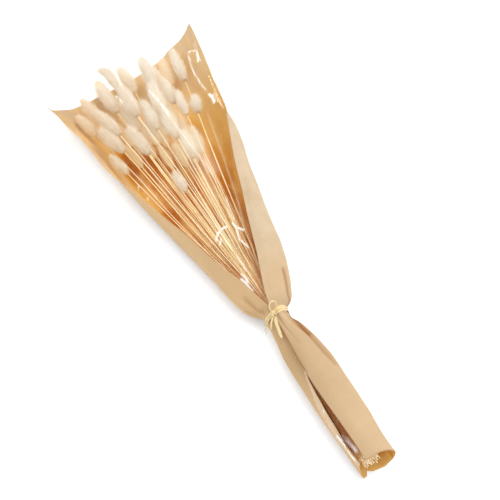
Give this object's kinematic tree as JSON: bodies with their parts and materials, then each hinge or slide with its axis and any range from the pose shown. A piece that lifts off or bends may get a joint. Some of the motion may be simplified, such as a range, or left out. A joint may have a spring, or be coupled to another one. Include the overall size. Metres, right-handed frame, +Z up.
{
  "type": "dried bunny tail grass bunch",
  "caption": "Bunch of dried bunny tail grass with soft cream heads, lying in a kraft paper wrap under clear film, tied at the waist with raffia.",
  "frame": {"origin": "on the resting plane under the middle of the bunch's bounding box", "axes": "+Y along the bunch from the cut ends to the heads, +Z up with the film side on top, +X to the right seen from above with the heads away"},
  "size_m": [0.2028, 0.604, 0.0621],
  "materials": {
    "dried_grass": "matt cream down on straw coloured stems",
    "kraft_paper": "matt brown kraft paper with fine fibres",
    "clear_film": "thin glossy clear film",
    "raffia": "dry pale raffia with a slight sheen"
  },
  "bodies": {
    "root": {"grass_01": "dried_grass", "grass_02": "dried_grass", "grass_03": "dried_grass", "grass_04": "dried_grass", "grass_05": "dried_grass", "grass_06": "dried_grass", "grass_07": "dried_grass", "grass_08": "dried_grass", "grass_09": "dried_grass", "grass_10": "dried_grass", "grass_11": "dried_grass", "grass_12": "dried_grass", "grass_13": "dried_grass", "grass_14": "dried_grass", "grass_15": "dried_grass", "grass_16": "dried_grass", "grass_17": "dried_grass", "grass_18": "dried_grass", "grass_19": "dried_grass", "grass_20": "dried_grass", "grass_21": "dried_grass", "grass_22": "dried_grass", "grass_23": "dried_grass", "grass_24": "dried_grass", "grass_25": "dried_grass", "grass_26": "dried_grass", "grass_27": "dried_grass", "grass_28": "dried_grass", "grass_29": "dried_grass", "grass_30": "dried_grass", "grass_31": "dried_grass", "grass_32": "dried_grass", "grass_33": "dried_grass", "grass_34": "dried_grass", "grass_35": "dried_grass", "grass_36": "dried_grass", "grass_37": "dried_grass", "grass_38": "dried_grass", "kraft_wrap": "kraft_paper", "clear_film": "clear_film", "raffia_tie": "raffia"}
  },
  "joints": []
}
